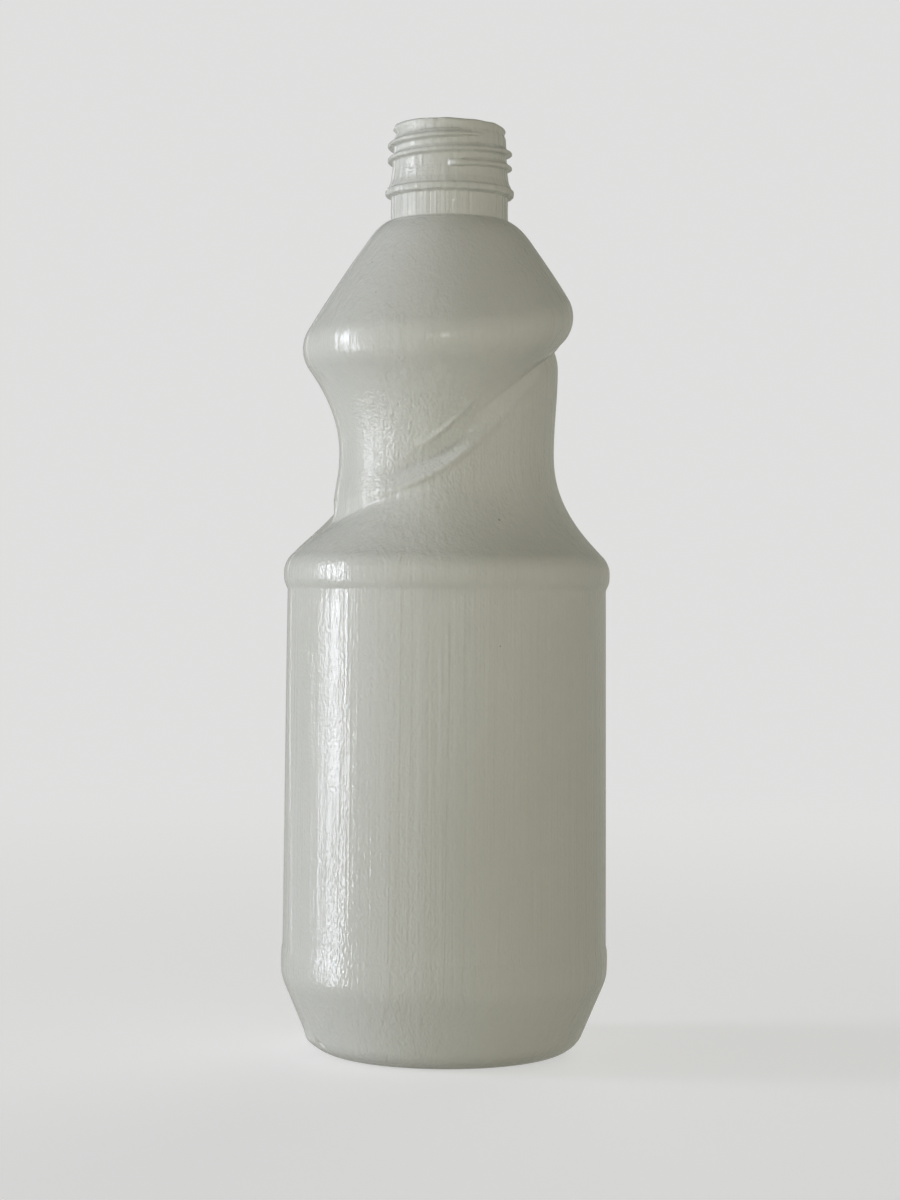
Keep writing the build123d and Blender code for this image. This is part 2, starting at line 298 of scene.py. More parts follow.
def neckRows():
    footRadius = wall["finishFootRadius"]
    bendRadius = footRadius + wall["rampBendStand"]
    rampFootRadius = footRadius + wall["rampFootStand"]
    start = wall["shoulderStart"]
    corners = [
        (wall["mouthRadius"], bottleTop, wall["rimRound"]),
        (footRadius, rampTop, wall["rampTopRound"]),
        (bendRadius, guardTop + wall["rampBendRise"], wall["rampBendRound"]),
        (rampFootRadius, guardTop + wall["rampFootRise"], wall["rampFootRound"]),
        (wall["guardRadius"], guardTop, wall["guardRound"] / 2),
        (wall["guardRadius"], guardBottom + wall["guardUndercut"], wall["guardRound"]),
        (wall["neckRadius"], guardBottom, wall["neckTopRound"]),
        (wall["neckRadius"], shoulderTop, wall["neckFootRound"]),
        (wall["neckRadius"] + start, shoulderTop + start / wall["shoulderTopSlope"], 0),
    ]
    rows = [(*corner, count) for corner, count in zip(corners, wall["neckRows"])]
    return cornerRows([rimMiddle] + rows, wall["cornerSteps"])[:-1]


def bodyRows(inset, counts):
    # from the body's top to the middle of the foot
    beadCentre = (
        wall["bodyTopRadius"] + wall["bodySpread"] + wall["footBeadStand"] - wall["footBeadRound"],
        wall["footBeadHeight"],
    )
    heelCentre = (wall["ringRadius"], wall["heelRound"])
    ringCentre = (wall["ringRadius"] - wall["ringWidth"], wall["ringRound"])
    standShare = (wall["footBeadRound"] - wall["footBeadStand"]) / wall["footBeadRound"]
    beadStart = math.degrees(math.acos(standShare))
    across, down = heelCentre[0] - beadCentre[0], heelCentre[1] - beadCentre[1]
    tilt = math.acos((wall["footBeadRound"] - wall["heelRound"]) / math.hypot(across, down))
    coneAngle = math.degrees(math.atan2(down, across) + tilt)
    rounds = wall["ringRound"] + wall["pushUpRound"]
    slopeRise = wall["pushUpHeight"] - rounds * (1 - cosine(wall["pushUpAngle"]))
    slopeRun = slopeRise / tangent(wall["pushUpAngle"]) + rounds * sine(wall["pushUpAngle"])
    panelRadius = ringCentre[0] - slopeRun
    panelCentre = (panelRadius, wall["pushUpHeight"] - wall["pushUpRound"])
    edgeAngle = 90 - wall["pushUpAngle"]
    beadRound, heelRound = wall["footBeadRound"] - inset, wall["heelRound"] - inset
    ringRound, panelRound = wall["ringRound"] - inset, wall["pushUpRound"] + inset
    bead = arcRows(beadCentre, beadRound, beadStart, coneAngle, counts[1])
    coneStart = arcRows(beadCentre, beadRound, coneAngle, 0, 1)[0]
    heel = arcRows(heelCentre, heelRound, coneAngle, -90, counts[3])
    ring = arcRows(ringCentre, ringRound, -90, -90 - wall["pushUpAngle"], counts[5])
    slopeFoot = arcRows(ringCentre, ringRound, -90 - wall["pushUpAngle"], 0, 1)[0]
    edge = arcRows(panelCentre, panelRound, edgeAngle, 90, counts[7])
    panelLevel = wall["pushUpHeight"] + inset
    return (
        lineRows((wall["bodyTopRadius"] - inset, bodyTop), bead[0], counts[0])
        + bead
        + lineRows(coneStart, heel[0], counts[2])
        + heel
        + lineRows((heelCentre[0], inset), ring[0], counts[4])
        + ring
        + lineRows(slopeFoot, edge[0], counts[6])
        + edge
        + lineRows((panelRadius, panelLevel), (0, panelLevel), counts[8])
        + [(0, panelLevel)]
    )


def outerRows(step):
    # the neck already ends at the shoulder, so the first point of the curves is left out
    curves = curveRows(gripKnots(step), wall["gripRows"])[1:]
    return neckRows() + curves + bodyRows(0, wall["bodyRows"])


def innerRows(step):
    # from the rim down the bore to the inner middle of the foot
    knots = insetKnots(gripKnots(step), wall["thickness"])
    topRows, sideRows = wall["boreRows"]
    bore = cornerRows([
        rimMiddle,
        (wall["boreRadius"], bottleTop, wall["rimInnerRound"], topRows),
        (wall["boreRadius"], shoulderTop, 0, sideRows),
    ], wall["boreSteps"])
    counts = [max(wall["fewestRows"], rows // wall["innerGripShare"]) for rows in wall["gripRows"]]
    return bore + curveRows(knots, counts) + bodyRows(wall["thickness"], wall["innerBodyRows"])


# Marks that blowing leaves on the wall: uneven rim, die lines, parting line, ripples.
# Levels and stands are in mm, and places round the bottle in degrees to the right of its front
marks = {
    # waves of the wall: stand, grain, how far they are drawn out along the bottle, seed
    "bodyWave": (0.06, 16, 2.5, 1), "dieLine": (0.04, 3.2, 14, 2), "neckDieLine": (0.12, 1.1, 9, 3),
    # zones with waves: levels where each starts, is full, starts to fade and has gone
    "bodyZone": (8, 16, 99, 102), "gripZone": (106, 112, 176, 181),
    "neckZone": (181.9, 182.9, 201, 202.5),
    # parting line: a ridge and a groove, each with its stand and its place beside the line,
    # and how they change over the foot
    "partingTurn": 178.2, "partingReach": 3, "partingEnd": 1.0, "partingWidth": 0.21,
    "ridge": (0.27, 0.15), "groove": (0.16, -0.25), "footZone": (14, 20),
    "footRidge": -0.6, "footGroove": 1.4, "footWidth": 0.6,
    # points across it, in degrees, and the range that they take the place of even steps in
    "partingColumns": (
        -1.0, -0.6, -0.4, -0.2, 0, 0.15, 0.3, 0.45, 0.6, 0.8, 1.0, 1.5, 2.0, 2.5, 3.0),
    "partingRange": (-1.2, 3.4),
    # its lean towards the front in degrees, and the levels where that is full and has gone
    "bodyDrift": (6.8, 15, 90), "footDrift": (5.0, 2, 16),
    # rings right round: stand, level, height, and radii where each starts and is full
    "rings": (
        (-0.07, 1.25, 0.22, 22, 25),  # edge of the mould's foot insert
        (-0.12, 109.2, 0.55, 31, 33),  # crease under the grip
        (0.12, 202.35, 0.5, 0, 1),  # flare of the rim
        (-0.3, 201.1, 0.65, 0, 1),  # hollow under it
    ),
    # spots: stand, place and width round the bottle, level, height
    "spots": (
        (0.42, -84, 22, 202.2, 0.35),  # lip of the rim at the left
        (-0.336, -82, 16, 201.1, 0.4),  # hollow under it
        (0.75, -71, 7, 3.7, 1.6),  # heel, pinched out beside the parting line
    ),
    # ripples of the foot: stand, degrees of a wave for each mm, level, height, place, width
    "footRipple": (0.07, 190, 9, 3.5, 2, 10),
    # notch at the parting line's end: depth, place, width, level, fall in mm a degree, height
    "pinchNotch": (0.5, 1.2, 3.2, 3.7, 0.22, 0.38),
    # uneven rim: stand, the part of the wave that stays level, radius, and share, grain and seed
    "rimWave": 0.36, "rimLevel": 0.15, "rimRadius": 12, "rimGrains": ((1, 9, 5), (0.5, 3.5, 6)),
    "rimDip": (0.75, 82, 34), "rimDepth": 3,
    # no mark stands out past this radius, and all ease towards it
    "widest": 35.93, "widestEase": 0.33,
    # creases of the grip: knot they follow, rise from it, stand, width above and below,
    # then the step where each is strongest, and how far it reaches to either side
    "creases": (
        (5, 0.0, 0.5, 0.55, 0.9, 4.8, 1.0, 0.7),
        (6, -2.1, -0.95, 1.7, 1.5, 4.9, 1.4, 0.95),
        (7, -0.5, 0.78, 0.8, 1.2, 5.0, 2.4, 1.35),
        (8, -1.2, -0.22, 0.8, 1.4, 2.4, 1.6, 1.4),
        (7, 0.8, 0.18, 0.9, 0.9, 7.7, 0.9, 0.9),
        (7, -1.6, -0.24, 0.8, 1.1, 7.3, 1.0, 0.9),
        (7, 3.2, -0.5, 1.3, 1.3, 3.2, 0.9, 0.8),
    ),
}


def turnsRound():
    # even steps, with closer ones across the two parting lines
    turns = {360 * index / wall["columns"] for index in range(wall["columns"])}
    low, high = marks["partingRange"]
    for middle in (marks["partingTurn"], marks["partingTurn"] + 180):
        turns = {turn for turn in turns if not low < away(turn, middle) < high}
        turns |= {(middle + off) % 360 for off in marks["partingColumns"]}
    return sorted(turns) + [min(turns) + 360]


def gripMarks(step, level):
    # sharper ridges and valleys along the twist than the smooth curves give
    knots = gripKnots(step)
    out = 0
    for knot, rise, stand, above, below, middle, before, after in marks["creases"]:
        past = level - knots[knot][1] - rise
        reach = bump(step, middle, before if step < middle else after)
        out += stand * reach * bump(past, 0, above if past > 0 else below)
    return out


def drift(level):
    # the parting line leans a little towards the front, most over the foot
    return sum(
        lean * (1 - smoothStep(level, full, gone))
        for lean, full, gone in (marks["bodyDrift"], marks["footDrift"])
    )


def waved(name, turn, radius, level):
    stand, grain, stretch, seed = marks[name]
    return stand * unevenness(turn, radius, level, grain, stretch, seed)


def partingMark(turn, radius, level):
    # ridge and groove where the two halves of the mould meet, at both sides
    onFoot = 1 - smoothStep(level, *marks["footZone"])
    ridge, ridgePlace = marks["ridge"]
    groove, groovePlace = marks["groove"]
    ridge *= 1 + marks["footRidge"] * onFoot
    groove *= 1 + marks["footGroove"] * onFoot
    grooveWidth = marks["partingWidth"] * (1 + marks["footWidth"] * onFoot)
    out = 0
    for middle in (marks["partingTurn"], marks["partingTurn"] + 180):
        past = away(turn, middle)
        arc = radius * math.radians(past)
        if abs(past) < marks["partingReach"] and level > marks["partingEnd"]:
            out += ridge * bump(arc, ridgePlace, marks["partingWidth"])
            out -= groove * bump(arc, groovePlace, grooveWidth)
    return out


def notchMark(turn, level):
    # the notch crosses the front parting line where it ends at the heel
    depth, place, width, notchLevel, fall, height = marks["pinchNotch"]
    past = away(turn, marks["partingTurn"])
    return -depth * bump(past, place, width) * bump(level, notchLevel - fall * past, height)


def rippleMark(facing, level):
    stand, wave, rippleLevel, height, place, width = marks["footRipple"]
    reach = bump(level, rippleLevel, height) * bump(facing, place, width)
    return stand * sine(level * wave) * reach


def markedWall(turn, radius, level):
    # moves a point of the outer wall by the marks of blowing
    seen = turn + drift(level)
    facing = away(seen, frontTurn)
    onWall = between(level, *marks["bodyZone"]) + between(level, *marks["gripZone"])
    out = onWall * waved("bodyWave", seen, radius, level)
    out += onWall * waved("dieLine", seen, radius, level)
    out += between(level, *marks["neckZone"]) * waved("neckDieLine", seen, radius, level)
    out += partingMark(turn, radius, level)
    out += notchMark(turn, level)
    out += rippleMark(facing, level)
    for stand, ringLevel, height, start, full in marks["rings"]:
        out += stand * bump(level, ringLevel, height) * smoothStep(radius, start, full)
    for stand, place, width, spotLevel, height in marks["spots"]:
        out += stand * bump(facing, place, width) * bump(level, spotLevel, height)
    over = (radius + out - marks["widest"]) / marks["widestEase"] + 1
    if over > 0:
        return marks["widest"] - marks["widestEase"] * math.exp(-over), level
    return radius + out, level


def rimLift(turn, level):
    # the trimmed rim isn't level
    wave = sum(
        share * unevenness(turn, marks["rimRadius"], 0, grain, 1, seed)
        for share, grain, seed in marks["rimGrains"]
    )
    dip, place, width = marks["rimDip"]
    lift = marks["rimWave"] * min(wave - marks["rimLevel"], 0)
    lift -= dip * bump(away(turn, frontTurn), place, width)
    return lift * smoothStep(level, bottleTop - marks["rimDepth"], bottleTop)


def deselectAll():
    if bpy.context.object and bpy.context.object.mode != "OBJECT":
        bpy.ops.object.mode_set(mode="OBJECT")
    bpy.ops.object.select_all(action="DESELECT")


def sewnGrid(name, rows):
    # a flat grid is wrapped so that its rows become the given rings, then sewn up
    deselectAll()
    across, along = len(rows[0]) - 1, len(rows) - 1
    bpy.ops.mesh.primitive_grid_add(x_subdivisions=across, y_subdivisions=along, size=1)
    piece = bpy.context.object
    piece.name = name
    flat = [axis * mm for row in rows for point in row for axis in point]
    piece.data.vertices.foreach_set("co", flat)
    piece.data.update()
    bpy.ops.object.mode_set(mode="EDIT")
    bpy.ops.mesh.select_all(action="SELECT")
    bpy.ops.mesh.remove_doubles(threshold=sewReach * mm)
    bpy.ops.mesh.normals_make_consistent(inside=False)
    bpy.ops.object.mode_set(mode="OBJECT")
    bpy.ops.object.shade_smooth()
    return piece


def makeWall():
    columns = []
    turns = turnsRound()
    for turn in turns:
        step = abs(turn % 360 - 180) / 180 * gripSteps
        column = []
        for radius, level in reversed(outerRows(step)):
            if radius > 0:
                radius, level = markedWall(turn, radius, level)
            if crestLow + wall["crestClimb"] > level > beadHeight:
                radius += gripMarks(step, level)
            column.append((radius, level + rimLift(turn, level)))
        for radius, level in innerRows(step)[1:]:
            column.append((radius, level + rimLift(turn, level)))
        columns.append(column)
    rings = [
        [atTurn(turn + drift(level), radius, level) for turn, (radius, level) in zip(turns, ring)]
        for ring in zip(*columns)
    ]
    print("wall: rings", len(rings), "columns", len(turns))
    return sewnGrid("bottleWall", rings)


# Screw thread: one right-handed ridge, a little over two turns, fading at its top
thread = {
    "pitch": 3.18, "crestRadius": 13.68, "frontLevel": 196.02, "topTurn": 409.0,
    "bottomTurn": -362.0, "turnStep": 1.8, "fadeTurn": 62.0, "bluntTurn": 4.0, "embed": 0.4,
    # where it fades it sinks into the wall and gets lower, to this share of its height
    "sink": 0.12, "lowest": 0.55, "bluntHeight": 0.4,
    # its wide start, in degrees past the end: where it is full, starts to fade and has gone
    "padBegin": -1.0, "padFull": 7.0, "padFade": 12.0, "padGone": 19.0,
    "padDome": 0.45, "padMiddle": 9.5, "padReach": 5.2,
    # height above the crest line in mm, and share of the stand, of the ridge and of its wide start
    "profile": (
        (1.62, -0.12), (1.3, 0.03), (0.95, 0.2), (0.66, 0.5), (0.44, 0.82), (0.24, 0.96),
        (0, 1.0), (-0.22, 0.98), (-0.38, 0.84), (-0.48, 0.5), (-0.58, 0.16), (-0.74, 0.02),
        (-1.0, -0.12),
    ),
    "pad": (
        (1.0, -0.12), (0.9, 0.05), (0.8, 0.4), (0.7, 0.8), (0.58, 0.97), (0.35, 1.0),
        (0.05, 0.98), (-0.25, 0.95), (-0.48, 0.91), (-0.6, 0.75), (-0.68, 0.4), (-0.76, 0.05),
        (-0.86, -0.12),
    ),
}


def finishRadius(level):
    share = (bottleTop - level) / (bottleTop - rampTop)
    return wall["mouthRadius"] + (wall["finishFootRadius"] - wall["mouthRadius"]) * share


def ridgePoint(ridge, pad, wide):
    # between the ridge's own outline and that of its wide start
    return [ridge[axis] + (pad[axis] - ridge[axis]) * wide for axis in (0, 1)]


def makeThread():
    span = thread["topTurn"] - thread["bottomTurn"]
    count = round(span / thread["turnStep"])
    rows = []
    for index in range(count + 1):
        facing = thread["topTurn"] - span * index / count  # seen from the front, to the right
        middle = thread["frontLevel"] + thread["pitch"] * facing / 360
        fade = smoothStep(thread["topTurn"] - facing, 0, thread["fadeTurn"])
        past = facing - thread["bottomTurn"]
        blunt = smoothStep(past, -thread["bluntTurn"], thread["bluntTurn"])
        share = min(fade, blunt)
        wide = between(
            past, thread["padBegin"], thread["padFull"], thread["padFade"], thread["padGone"])
        crown = thread["padDome"] * bump(past, thread["padMiddle"], thread["padReach"])
        height = min(fade, thread["bluntHeight"] + blunt)
        height = thread["lowest"] + (1 - thread["lowest"]) * height
        points = [ridgePoint(*pair, wide) for pair in zip(thread["profile"], thread["pad"])]
        ring = []
        for rise, out in points:
            base = finishRadius(middle + rise)
            stand = (thread["crestRadius"] + crown - base) * out
            radius = base + (stand * share if out > 0 else stand) - (1 - share) * thread["sink"]
            ring.append((radius, middle + rise * height))
        for rise in (points[-1][0], points[0][0]):
            level = middle + rise * height
            ring.append((finishRadius(level) - thread["embed"], level))
        ring.append(ring[0])
        rows.append([atTurn(facing + frontTurn, radius, level) for radius, level in ring])
    # both ends close to a point inside the wall
    for end in (0, -1):
        around = rows[end][:-1]
        centre = [sum(point[axis] for point in around) / len(around) for axis in range(3)]
        inside = finishRadius(centre[2]) - thread["embed"] / 2
        pull = inside / math.hypot(centre[0], centre[1])
        cap = [(centre[0] * pull, centre[1] * pull, centre[2])] * len(rows[end])
        rows = [cap] + rows if end == 0 else rows + [cap]
    return sewnGrid("neckThread", rows)


# Seam under the foot, where the mould pinched the tube shut
pinchSeam = {
    "length": 39.0, "width": 0.9, "stand": 0.35, "depth": 0.4,
    "cuts": 3, "wander": 0.12, "wanderGrain": 3, "wanderPlace": 4.2,
    "edge": 0.15, "edgeSegments": 2, "sharpAngle": 40,
}


def makePinchSeam():
    deselectAll()
    bpy.ops.mesh.primitive_cube_add(size=1)
    piece = bpy.context.object
    piece.name = "pinchSeam"
    bpy.ops.object.mode_set(mode="EDIT")
    bpy.ops.mesh.select_all(action="SELECT")
    tall = pinchSeam["stand"] + pinchSeam["depth"]
    bpy.ops.transform.resize(value=(pinchSeam["length"] * mm, pinchSeam["width"] * mm, tall * mm))
    bpy.ops.mesh.subdivide(number_cuts=1)
    bpy.ops.object.mode_set(mode="OBJECT")
    for vertex in piece.data.vertices:
        vertex.co.z += (wall["pushUpHeight"] - pinchSeam["stand"] + tall / 2) * mm
    cut = piece.modifiers.new("cuts", "SUBSURF")
    cut.subdivision_type = "SIMPLE"
    cut.levels = cut.render_levels = pinchSeam["cuts"]
    bpy.ops.object.modifier_apply(modifier="cuts")
    for vertex in piece.data.vertices:
        along = vertex.co.x / mm / pinchSeam["wanderGrain"]
        side = noise.noise(Vector((along, pinchSeam["wanderPlace"], 0)))
        vertex.co.y += pinchSeam["wander"] * mm * side
    edge = piece.modifiers.new("edge", "BEVEL")
    edge.width = pinchSeam["edge"] * mm
    edge.segments = pinchSeam["edgeSegments"]
    edge.limit_method = "ANGLE"
    bpy.ops.object.modifier_apply(modifier="edge")
    bpy.ops.object.shade_smooth_by_angle(angle=math.radians(pinchSeam["sharpAngle"]))
    return piece


# White blown polyethylene: semi-gloss, a little translucent, with die lines down it
plastic = {
    "colour": (0.64, 0.64, 0.595), "warmColour": (0.615, 0.615, 0.56),
    "speckColour": (0.10, 0.08, 0.06),
    # dark specks in the wall: place in mm, then size
    "specks": (
        ((-20.33, -9.16, 171.1), 0.34), ((-21.55, -16.33, 163.8), 0.26),
        ((2.60, -24.19, 137.8), 0.4), ((2.40, -27.98, 115.7), 0.42),
        ((-30.86, -16.67, 83.7), 0.34), ((0.39, -35.03, 89.3), 0.28),
    ),
    # where a speck is full and has gone, as shares of its size, and how dark it is
    "speckFull": 0.3, "speckGone": 0.8, "speckDark": 0.62,
    # small specks all over: cells, then low and high value in and out
    "cells": 95, "speckEdge": (0.015, 0.026, 1, 0), "speckChance": (0.84, 0.86, 0, 0.5),
    # patches where the wall has shrunk: place, full and last reach in mm, strength
    "crinkles": (
        ((-12.0, -21.6, 134.0), 8.0, 16.0, 2.3), ((-22.0, -16.0, 126.0), 2.0, 9.0, 1.5),
        ((-29.0, -22.0, 20.0), 6.0, 34.0, 1.3), ((-4.5, -24.4, 140.0), 1.0, 4.0, 1.5),
        ((-9.0, -10.6, 193.0), 1.0, 3.5, 2.0),
    ),
    # patches with fine wrinkles across the bottle: place, full and last reach in mm, strength
    "wrinkles": (
        ((-19.9, -14.2, 134.6), 6.5, 12.0, 1.0), ((-21.6, -12.5, 124.0), 3.0, 7.5, 1.2),
        ((-9.0, -22.8, 137.5), 2.0, 6.0, 0.6), ((-10.3, -6.6, 193.4), 2.5, 6.0, 0.8),
        ((-10.3, -6.6, 201.0), 1.0, 3.0, 0.5), ((-30.5, -16.9, 58.0), 24.0, 46.0, 0.2),
    ),
    # noise of each kind: scale, squash along the axes, detail
    "noises": {
        "lines": (900, (1, 1, 0.012), 2.0), "fineLines": (2300, (1, 1, 0.012), 1.0),
        "deepLines": (480, (1, 1, 0.008), 0.0), "peel": (1900, (1, 1, 0.6), 0.5),
        "wrinkle": (1350, (0.7, 0.7, 1.5), 1.0), "drawn": (45, (1, 1, 0.35), 1.0),
        "cloud": (30, (1, 1, 0.5), 1.0),
    },
    # how the noise is used: low and high value, and what they become
    "drawnRange": (0.35, 0.65, 0.25, 1.3), "deepRange": (0.57, 0.65, 0, 0.24),
    "cloudRange": (0.3, 0.7, 0, 1),
    # how the relief changes up the bottle: two levels in mm, and its strength at each
    "underGuard": (181, 183, 1, 4.5), "overGuard": (187, 188.5, 1, 0.4),
    "gripFoot": (108, 122, 1, 1.2), "gripTop": (140, 152, 1, 0.6),
    "lineHeight": 0.155, "fineLineHeight": 0.055, "peelHeight": 0.075, "wrinkleHeight": 0.19,
    "roughness": 0.14, "ior": 1.54,
    "subsurface": 0.2, "subsurfaceScale": 1.2, "subsurfaceRadius": (1.0, 0.97, 0.85),
}


def makePlastic():
    material = bpy.data.materials.new("blownPlastic")
    material.use_nodes = True
    nodes, links = material.node_tree.nodes, material.node_tree.links
    shader = nodes["Principled BSDF"]
    coordinates = nodes.new("ShaderNodeTexCoord")

    def noiseOf(name):
        scale, squash, detail = plastic["noises"][name]
        mapping = nodes.new("ShaderNodeMapping")
        mapping.inputs["Scale"].default_value = squash
        links.new(coordinates.outputs["Object"], mapping.inputs["Vector"])
        texture = nodes.new("ShaderNodeTexNoise")
        texture.inputs["Scale"].default_value = scale
        texture.inputs["Detail"].default_value = detail
        links.new(mapping.outputs["Vector"], texture.inputs["Vector"])
        return texture.outputs["Fac"]

    def ranged(source, low, high, newLow, newHigh):
        node = nodes.new("ShaderNodeMapRange")
        node.inputs["From Min"].default_value = low
        node.inputs["From Max"].default_value = high
        node.inputs["To Min"].default_value = newLow
        node.inputs["To Max"].default_value = newHigh
        links.new(source, node.inputs["Value"])
        return node.outputs["Result"]

    def upBottle(name):
        low, high, lowStrength, highStrength = plastic[name]
        return ranged(height.outputs["Z"], low * mm, high * mm, lowStrength, highStrength)

    def bumped(relief, name, normal=None):
        node = nodes.new("ShaderNodeBump")
        node.inputs["Distance"].default_value = plastic[name] * mm
        links.new(relief, node.inputs["Height"])
        if normal:
            links.new(normal, node.inputs["Normal"])
        return node.outputs["Normal"]

    def combined(kind, first, second):
        node = nodes.new("ShaderNodeMath")
        node.operation = kind
        links.new(first, node.inputs[0])
        links.new(second, node.inputs[1])
        return node.outputs["Value"]

    def mixed(factor):
        node = nodes.new("ShaderNodeMix")
        node.data_type = "RGBA"
        links.new(factor, node.inputs["Factor"])
        return node

    def awayFrom(place):
        node = nodes.new("ShaderNodeVectorMath")
        node.operation = "DISTANCE"
        node.inputs[1].default_value = [axis * mm for axis in place]
        links.new(coordinates.outputs["Object"], node.inputs[0])
        return node.outputs["Value"]

    # where the relief is strong
    height = nodes.new("ShaderNodeSeparateXYZ")
    links.new(coordinates.outputs["Object"], height.inputs["Vector"])
    drawn = ranged(noiseOf("drawn"), *plastic["drawnRange"])
    onNeck = combined("MULTIPLY", upBottle("underGuard"), upBottle("overGuard"))
    onGrip = combined("MULTIPLY", upBottle("gripFoot"), upBottle("gripTop"))
    for place, fullReach, lastReach, strength in plastic["crinkles"]:
        shrunk = ranged(awayFrom(place), fullReach * mm, lastReach * mm, strength, 1)
        onGrip = combined("MULTIPLY", onGrip, shrunk)
    wrinkled = None
    for place, fullReach, lastReach, strength in plastic["wrinkles"]:
        patch = ranged(awayFrom(place), fullReach * mm, lastReach * mm, strength, 0)
        wrinkled = combined("MAXIMUM", wrinkled, patch) if wrinkled else patch

    # relief: die lines, finer ones, peel and wrinkles
    deepLines = ranged(noiseOf("deepLines"), *plastic["deepRange"])
    lines = combined("MULTIPLY", noiseOf("lines"), combined("MULTIPLY", drawn, onNeck))
    normal = bumped(combined("ADD", lines, deepLines), "lineHeight")
    normal = bumped(combined("MULTIPLY", noiseOf("fineLines"), onNeck), "fineLineHeight", normal)
    normal = bumped(combined("MULTIPLY", noiseOf("peel"), onGrip), "peelHeight", normal)
    normal = bumped(combined("MULTIPLY", noiseOf("wrinkle"), wrinkled), "wrinkleHeight", normal)
    links.new(normal, shader.inputs["Normal"])

    # colour: warm clouds and dark specks
    tint = mixed(ranged(noiseOf("cloud"), *plastic["cloudRange"]))
    tint.inputs["A"].default_value = (*plastic["colour"], 1)
    tint.inputs["B"].default_value = (*plastic["warmColour"], 1)
    cells = nodes.new("ShaderNodeTexVoronoi")
    cells.inputs["Scale"].default_value = plastic["cells"]
    links.new(coordinates.outputs["Object"], cells.inputs["Vector"])
    near = ranged(cells.outputs["Distance"], *plastic["speckEdge"])
    dark = combined("MULTIPLY", near, ranged(cells.outputs["Color"], *plastic["speckChance"]))
    for place, size in plastic["specks"]:
        full, gone = plastic["speckFull"] * size * mm, plastic["speckGone"] * size * mm
        speck = ranged(awayFrom(place), full, gone, plastic["speckDark"], 0)
        dark = combined("MAXIMUM", dark, speck)
    specked = mixed(dark)
    links.new(tint.outputs["Result"], specked.inputs["A"])
    specked.inputs["B"].default_value = (*plastic["speckColour"], 1)
    links.new(specked.outputs["Result"], shader.inputs["Base Color"])

    shader.inputs["Roughness"].default_value = plastic["roughness"]
    shader.inputs["IOR"].default_value = plastic["ior"]
    shader.inputs["Subsurface Weight"].default_value = plastic["subsurface"]
    shader.inputs["Subsurface Radius"].default_value = plastic["subsurfaceRadius"]
    shader.inputs["Subsurface Scale"].default_value = plastic["subsurfaceScale"] * mm
    return material


blownPlastic = makePlastic()
bottleWall = makeWall()
neckThread = makeThread()
seam = makePinchSeam()
for piece in (bottleWall, neckThread, seam):
    piece.data.materials.clear()
    piece.data.materials.append(blownPlastic)
    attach(piece, "root")
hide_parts("bottle")
print("pieces: wall, thread and seam are made")

# Pale floor that runs out into the pale surround, and soft studio light
studio = {
    "paleColour": (0.74, 0.74, 0.735), "floorColour": (0.54, 0.54, 0.53),
    "ambientColour": (1.0, 0.985, 0.83), "ambient": 0.235, "glossShare": 0.15,
    "floorRadius": 6.0, "floorSides": 96, "floorRoughness": 0.7, "floorShine": 0.2,
    "fadeStart": 0.12, "fadeEnd": 0.8, "floorGlow": 0.5,
    # the soft light comes more from the sides than from above
    "skyLow": 1.45, "skyHigh": 0.15, "skyRise": 0.8,
    # what a lamp has unless its own line says otherwise: it leans in its own plane and is
    # aimed at a level on the bottle's axis
    "plainLamp": {"lean": 0.0, "spread": 180.0, "gloss": False, "aim": 0.125},
    # each lamp's direction from the front to the right, level, distance, size and light
    "lamps": {
        "window": {
            "facing": -87.0, "level": 0.2, "away": 1.3, "wide": 0.33, "tall": 1.1,
            "watts": 10.4, "colour": (0.95, 0.98, 1.09), "lean": 12.0, "gloss": True,
        },
        "softLeft": {
            "facing": -74.0, "level": 0.12, "away": 1.4, "wide": 1.2, "tall": 0.24,
            "watts": 6.4, "colour": (0.95, 0.99, 1.08),
        },
        "front": {
            "facing": 4.0, "level": 0.12, "away": 1.5, "wide": 1.0, "tall": 0.24,
            "watts": 4.3, "colour": (1.0, 0.985, 0.87),
        },
        "lowRight": {
            "facing": 42.0, "level": 0.08, "away": 1.5, "wide": 0.8, "tall": 0.16,
            "watts": 2.6, "colour": (1.0, 0.96, 0.8),
        },
        "back": {
            "facing": 158.0, "level": 0.35, "away": 1.6, "wide": 1.2, "tall": 0.6,
            "watts": 11.0, "colour": (1.0, 0.99, 0.95),
        },
        "small": {
            "facing": 0.0, "level": 0.3, "away": 1.7, "wide": 0.46, "tall": 0.09,
            "watts": 0.017, "colour": (1.0, 1.0, 1.0), "spread": 9.0, "gloss": True, "aim": 0.16,
        },
    },
}


def rayMix(nodes, links, seen, unseen):
    # what the camera sees, and reflections in part, and what lights the object
    path = nodes.new("ShaderNodeLightPath")
    most = path.outputs["Is Camera Ray"]
    for name in ("Is Glossy Ray", "Is Transmission Ray"):
        part = nodes.new("ShaderNodeMath")
        part.operation = "MULTIPLY"
        part.inputs[1].default_value = studio["glossShare"]
        links.new(path.outputs[name], part.inputs[0])
        node = nodes.new("ShaderNodeMath")
        node.operation = "MAXIMUM"
        links.new(most, node.inputs[0])
        links.new(part.outputs["Value"], node.inputs[1])
        most = node.outputs["Value"]
    mix = nodes.new("ShaderNodeMixShader")
    links.new(most, mix.inputs["Fac"])
    links.new(unseen, mix.inputs[1])
    links.new(seen, mix.inputs[2])
    return mix.outputs["Shader"]


